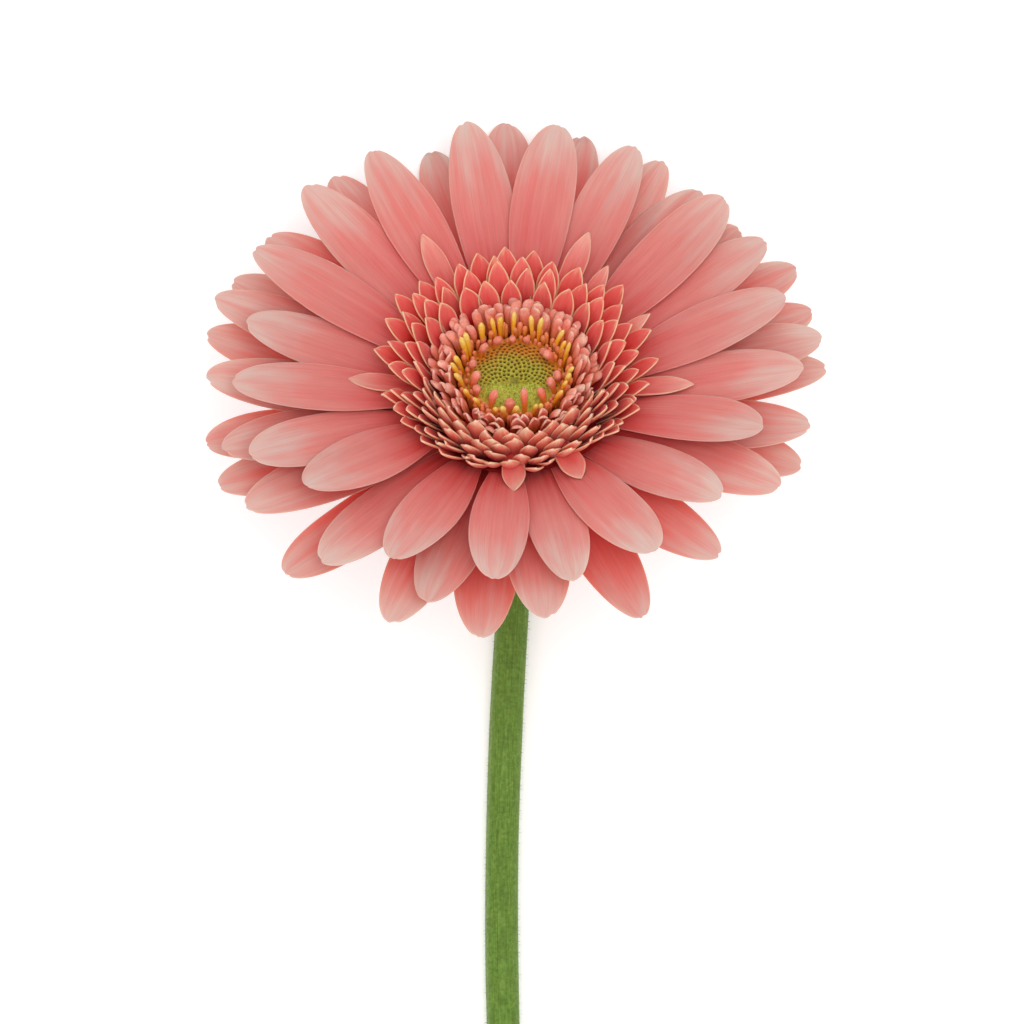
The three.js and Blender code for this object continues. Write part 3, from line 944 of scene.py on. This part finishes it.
# Foot and tip as (radius, height), count and half width
BRACT_ROWS = [
    ((3.6, -17.6), (14.6, -8.7), 26, 1.75),
    ((3.5, -17.9), (13.4, -10.6), 24, 1.75),
    ((3.4, -18.2), (10.6, -13.7), 20, 1.7),
]
BRACT_ALONG, BRACT_ACROSS = 18, 8
BRACT_BELLY = 0.26  # how far a bract bulges, as a share of its rise and reach
# The receptacle, a fleshy cup that closes onto the stem, as (radius, height)
RECEPTACLE_PROFILE = [
    (0.0, -4.0), (9.0, -3.9), (12.0, -4.4), (12.5, -6.0), (12.5, -8.6), (11.0, -11.6), (8.4, -14.2),
    (5.4, -16.4), (3.3, -17.9), (2.9, -18.6), (0.0, -18.6),
]


def bract(azimuth, foot, tip, half_width, random):
    s = np.linspace(0, 1, BRACT_ALONG + 1)[:, None]
    t = np.linspace(-1, 1, BRACT_ACROSS + 1)[None, :]
    reach, climb = tip[0] - foot[0], tip[1] - foot[1]
    bulge = np.sin(math.pi * s) * BRACT_BELLY
    radius = foot[0] + reach * s + bulge * climb
    height = foot[1] + climb * s - bulge * reach
    half = half_width * (0.62 + 0.38 * np.sin(math.pi * np.minimum(s / 0.8, 1))) * (1 - s**3.2) + 0.04
    angle = azimuth + t * half * smooth_step(s, -0.5, 0.5) / radius
    keel = -0.3 * (1 - t**2) * (1 - 0.5 * s)
    curl = 0.8 * random.uniform(-0.4, 1.0) * s**5
    middle = np.stack([radius * np.cos(angle), radius * np.sin(angle), height + keel - curl], axis=2)
    thickness = 0.5 * (1 - 0.6 * t**4) * (1.15 - 0.6 * s)
    points, faces = blade(middle, thickness)
    return points, faces, {"tone": random.uniform(0, 1), **blade_values(s, t, thickness)}


def back_of_head(random):
    green = green_material("bract_green", BRACT_STOPS, 900.0, 0.5)
    for number, (foot, tip, count, half_width) in enumerate(BRACT_ROWS, 1):
        turn = random.uniform(0, 2 * math.pi)
        shape = Shape()
        for i in range(count):
            azimuth = turn + 2 * math.pi * (i + random.uniform(-0.15, 0.15)) / count
            width = half_width * random.uniform(0.9, 1.1)
            points, faces, values = bract(azimuth, foot, tip, width, random)
            shape.add(points, faces, **values)
        piece(f"bract_row_{number}", shape, green, ["involucre"])

    sides = 96
    radius, height = profile_line(RECEPTACLE_PROFILE, 6)
    turn = np.linspace(0, 2 * math.pi, sides, endpoint=False)
    flute = 1 + 0.012 * np.cos(turn * 16)
    rows = len(radius) - 2  # rings of points between the two ends, which are single points
    points = ring_points(radius[1:-1] * flute, height[1:-1], turn)
    ends = [[0, 0, float(height[0, 0])], [0, 0, float(height[-1, 0])]]
    top, bottom, last = len(points), len(points) + 1, (rows - 1) * sides
    faces = ring_faces(rows - 1, sides)
    faces += [[top, j, (j + 1) % sides] for j in range(sides)]
    faces += [[bottom, last + (j + 1) % sides, last + j] for j in range(sides)]
    shape = Shape()
    along = np.concatenate([np.repeat(np.linspace(0, 1, rows), sides), [0, 1]])
    across = np.concatenate([np.tile(np.cos(turn * 8), rows), [0, 0]])
    shape.add(np.concatenate([points, ends]), faces, along=along, across=across, tone=0.4)
    piece("receptacle_body", shape, green, ["receptacle"])


# ---- Stem --------------------------------------------------------------------------------------------

STEM_RADIUS = 2.75
STEM_STEPS, STEM_SIDES = 420, 48
CAD_SIDES = 12  # corners of one ring of the CAD stem
CAD_FIRST_STEP = 5.2  # about how far its first two rings are apart
STEM_TOP = -18.0  # height at which it leaves the receptacle
STREAK_SPAN = 12.0  # the material's "along" at the cut end, which sets how long the streaks are
# The cut end from its rim inwards: share of the radius and how deep it lies. A rind, a paler pith that
# sinks a little, and a small hollow.
CUT_RINGS = [(0.93, 0.0), (0.86, -0.12), (0.6, -0.2), (0.3, -0.3), (0.22, -1.6)]
CUT_BOTTOM = -1.7
HAIR_COUNT = 5200
HAIR_LENGTH = 0.55
HAIR_RADIUS = 0.028


def smooth_line(knots, count):
    """A smooth line through the knots, evenly spaced."""
    steps = np.concatenate([[0], np.cumsum(np.linalg.norm(np.diff(knots, axis=0), axis=1))])
    fine = np.linspace(0, steps[-1], count)
    slopes = np.gradient(knots, steps, axis=0)
    place = np.clip(np.searchsorted(steps, fine, side="right") - 1, 0, len(knots) - 2)
    gap = (steps[place + 1] - steps[place])[:, None]
    u = (fine - steps[place])[:, None] / gap
    from_start = (2 * u**3 - 3 * u**2 + 1) * knots[place] + (u**3 - 2 * u**2 + u) * gap * slopes[place]
    to_end = (3 * u**2 - 2 * u**3) * knots[place + 1] + (u**3 - u**2) * gap * slopes[place + 1]
    return from_start + to_end


def stem_knots():
    """The middles of the CAD stem's rings, found by walking it from the head to the cut end."""
    left = cad_points("stem")
    place = to_row([0, 0, STEM_TOP])
    knots = []
    while len(left) >= CAD_SIDES:
        distance = np.linalg.norm(left - place, axis=1)
        order = np.argsort(distance)
        if distance[order[CAD_SIDES - 1]] > 3 * STEM_RADIUS:
            break
        centre = left[order[:CAD_SIDES]].mean(0)
        step = centre - knots[-1] if knots else -AXES[2] * CAD_FIRST_STEP
        knots.append(centre)
        left = np.delete(left, order[:CAD_SIDES], axis=0)
        place = centre + step
    return np.array(knots)


def stem(random):
    line = smooth_line(stem_knots(), STEM_STEPS + 1)
    s = np.linspace(0, 1, STEM_STEPS + 1)
    radii = STEM_RADIUS * (1.0 + 0.05 * np.exp(-s * 30) - 0.03 * s + 0.008 * np.sin(s * 40))
    tangent = unit(np.gradient(line, axis=0))
    side = unit(np.cross(tangent, [0, 0, 1.0]))
    other = np.cross(side, tangent)
    turn = np.linspace(0, 2 * math.pi, STEM_SIDES, endpoint=False)
    ribs = 1 + 0.012 * np.cos(turn * 9)[None, :] + 0.006 * np.cos(turn * 5 + 1.3)[None, :]
    wide = radii[:, None] * ribs
    right, up = (wide * np.cos(turn))[..., None], (wide * np.sin(turn))[..., None]
    points = line[:, None] + side[:, None] * right + other[:, None] * up
    points[..., 2] = np.maximum(points[..., 2], 0.0)

    rings = [line[-1] + (side[-1] * right[-1] + other[-1] * up[-1]) * share + tangent[-1] * depth
             for share, depth in CUT_RINGS]
    bottom = (line[-1] + tangent[-1] * CUT_BOTTOM)[None]
    flat = np.concatenate([points.reshape(-1, 3), *rings, bottom])
    rows = STEM_STEPS + len(CUT_RINGS)
    last, tip = rows * STEM_SIDES, len(flat) - 1
    faces = ring_faces(rows, STEM_SIDES)
    faces += [[last + j, tip, last + (j + 1) % STEM_SIDES] for j in range(STEM_SIDES)]
    faces.append(list(range(STEM_SIDES)))
    cut = len(flat) - points.size // 3
    along = np.concatenate([np.repeat(s * STREAK_SPAN, STEM_SIDES), np.full(cut, STREAK_SPAN)])
    across = np.concatenate([np.tile(np.cos(turn * 2) * 1.5, STEM_STEPS + 1), np.zeros(cut)])
    shape = Shape()
    shape.add(flat, faces, along=along, across=across, tone=0.2)
    green = green_material("stem_green", STEM_STOPS, 1500.0, 0.6)
    piece("stem_skin", shape, green, ["stem"], in_head=False)
    hairs(line, radii, side, other, tangent, random)


def hairs(line, radii, side, other, tangent, random):
    n = Nodes("stem_hair")
    fine = n.noise(n.position(), 900.0, 2.0)
    n.set(
        Base_Color=n.ramp(fine, HAIR_STOPS), Roughness=0.5, Subsurface_Weight=0.2,
        Subsurface_Scale=0.0003, Normal=n.bump(fine, 0.3, 0.02),
    )
    shape = Shape()
    for _ in range(HAIR_COUNT):
        i = random.integers(4, len(line) - 2)
        angle = random.uniform(0, 2 * math.pi)
        out = side[i] * math.cos(angle) + other[i] * math.sin(angle)
        foot = line[i] + out * radii[i] * 0.985
        if foot[2] < 0.5:  # too close to the surface that the stem lies on
            continue
        length = HAIR_LENGTH * random.uniform(0.5, 1.25)
        sideways = np.cross(tangent[i], out)
        lean = tangent[i] * random.uniform(-0.2, 0.7) + sideways * random.uniform(-0.4, 0.4)
        tip = foot + (out + lean) * length
        bend = (foot + tip) / 2 + out * 0.12 * length
        ring = [r * HAIR_RADIUS for r in triangle(tangent[i], sideways)]
        shape.add([foot + r for r in ring] + [bend + r * 0.65 for r in ring] + [tip], SPIKE_FACES)
    piece("stem_hairs", shape, n.material, ["stem"], in_head=False)


# ---- Floor, light and camera -------------------------------------------------------------------------

CAMERA_HEIGHT = 1.2  # above the disc, in metres
CAMERA_OFFSET = (-0.32, -21.6)  # from the disc, in mm: the view takes in the head and the top of the stem
VIEW_WIDTH = 0.1652  # metres across, level with the disc
SENSOR = 36.0

WORLD_LIGHT = 0.84
# Name, place in metres, diameter and power; each points at the head
LIGHTS = [
    ("key", (0.14, 0.2, 1.25), 0.8, 5.2),
    ("fill", (-0.4, -0.6, 0.9), 0.8, 1.8),
]
FLOOR_REACH = 3.0


def area_light(name, place, size, power):
    light = bpy.data.lights.new(name, "AREA")
    light.shape = "DISK"
    light.size = size
    light.energy = power
    obj = bpy.data.objects.new(name, light)
    obj.location = place
    aim = Vector([*(ORIGIN[:2] * MM), 0.03]) - obj.location
    obj.rotation_euler = aim.to_track_quat("-Z", "Y").to_euler()
    bpy.context.scene.collection.objects.link(obj)


def studio():
    n = Nodes("floor")
    paper = n.noise(n.position(), 60.0, 4.0)
    n.set(Base_Color=n.ramp(paper, [(0.2, grey(0.90)), (0.8, grey(0.92))]), Roughness=0.9)
    n.set(Emission_Color=grey(1.0), Emission_Strength=0.22)
    mesh = bpy.data.meshes.new("floor")
    corners = [(x * FLOOR_REACH, y * FLOOR_REACH, 0) for x, y in ((-1, -1), (1, -1), (1, 1), (-1, 1))]
    mesh.from_pydata(corners, [], [[0, 1, 2, 3]])
    mesh.materials.append(n.material)
    floor = bpy.data.objects.new("floor", mesh)
    bpy.context.scene.collection.objects.link(floor)

    world = bpy.data.worlds.new("studio")
    world.use_nodes = True
    background = world.node_tree.nodes["Background"]
    background.inputs["Color"].default_value = (1, 1, 1, 1)
    background.inputs["Strength"].default_value = WORLD_LIGHT
    bpy.context.scene.world = world
    for light in LIGHTS:
        area_light(*light)

    camera = bpy.data.cameras.new("camera")
    camera.sensor_width = SENSOR
    camera.lens = SENSOR * CAMERA_HEIGHT / VIEW_WIDTH
    camera.clip_start = 0.01
    obj = bpy.data.objects.new("camera", camera)
    right, up = CAMERA_OFFSET
    obj.location = (ORIGIN + [right, up, CAMERA_HEIGHT / MM]) * MM
    bpy.context.scene.collection.objects.link(obj)
    bpy.context.scene.camera = obj
    bpy.context.scene.view_settings.view_transform = "Standard"


studio()
chance = np.random.default_rng(RANDOM_SEED)
ray_petals(chance)
crown(chance)
disc_florets(chance)
disc_centre(chance)
back_of_head(chance)
stem(chance)
